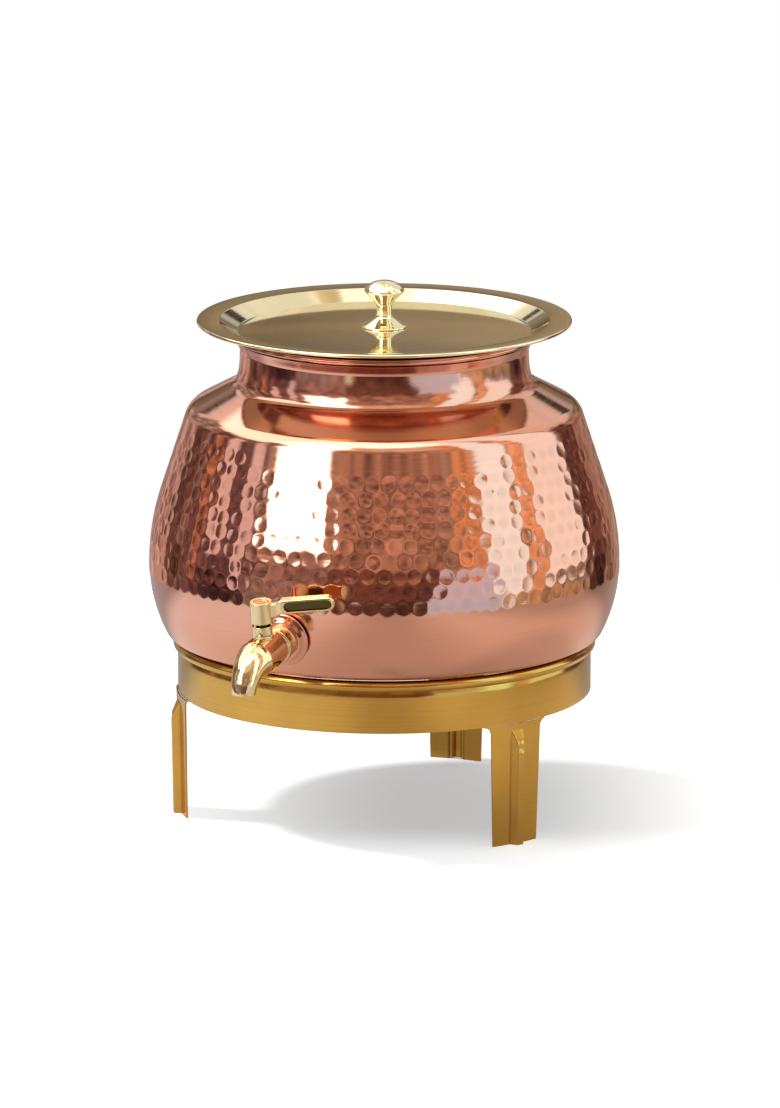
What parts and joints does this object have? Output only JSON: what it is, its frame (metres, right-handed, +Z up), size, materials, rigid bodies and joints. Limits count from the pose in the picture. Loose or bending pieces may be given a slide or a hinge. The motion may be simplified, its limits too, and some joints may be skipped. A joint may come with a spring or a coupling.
{
  "type": "water dispenser pot",
  "caption": "Hammered copper water pot with a flat brass lid, a quarter-turn brass lever tap and a separate three-legged brass stand.",
  "frame": {"origin": "on the pot's axis, at ground level", "axes": "+Z up along the pot's axis, -Y towards the tap, +X to the right seen from the tap's side"},
  "size_m": [0.3056, 0.3707, 0.3487],
  "materials": {
    "copper": "polished copper, hammered above the widest line",
    "stand_brass": "satin brass, brushed along the band",
    "lid_brass": "polished pale brass",
    "tap_brass": "polished brass",
    "steel": "plain steel",
    "rubber": "black rubber",
    "slip_plastic": "white slip plastic"
  },
  "bodies": {
    "stand": {"stand_ring": "stand_brass", "stand_rim_wire": "steel"},
    "pot": {"pot_body": "copper", "pot_rim_wire": "steel", "tap_body": "tap_brass", "tap_flange": "copper", "outer_seal": "rubber", "inner_seal": "rubber", "tap_washer": "tap_brass", "tap_nut": "tap_brass", "bonnet": "tap_brass", "bonnet_seal": "slip_plastic", "thrust_ring": "slip_plastic", "stem_seals": "rubber", "stop_pin": "tap_brass"},
    "lever": {"valve_plug": "tap_brass", "lever_handle": "tap_brass", "lever_screw": "tap_brass"},
    "lid": {"lid_plate": "lid_brass", "lid_knob": "lid_brass", "knob_washer": "steel", "knob_screw": "steel"}
  },
  "joints": [
    {"name": "pot_lift", "type": "slide", "parent": "stand", "child": "pot", "axis": [0, 0, 1], "range_m": [0, 0.12]},
    {"name": "lid_lift", "type": "slide", "parent": "pot", "child": "lid", "axis": [0, 0, 1], "range_m": [0, 0.08]},
    {"name": "tap_turn", "type": "hinge", "parent": "pot", "child": "lever", "pos_m": [0, -0.17988, 0.13805], "axis": [0, 0.1564, -0.9877], "range_deg": [0, 90]}
  ]
}
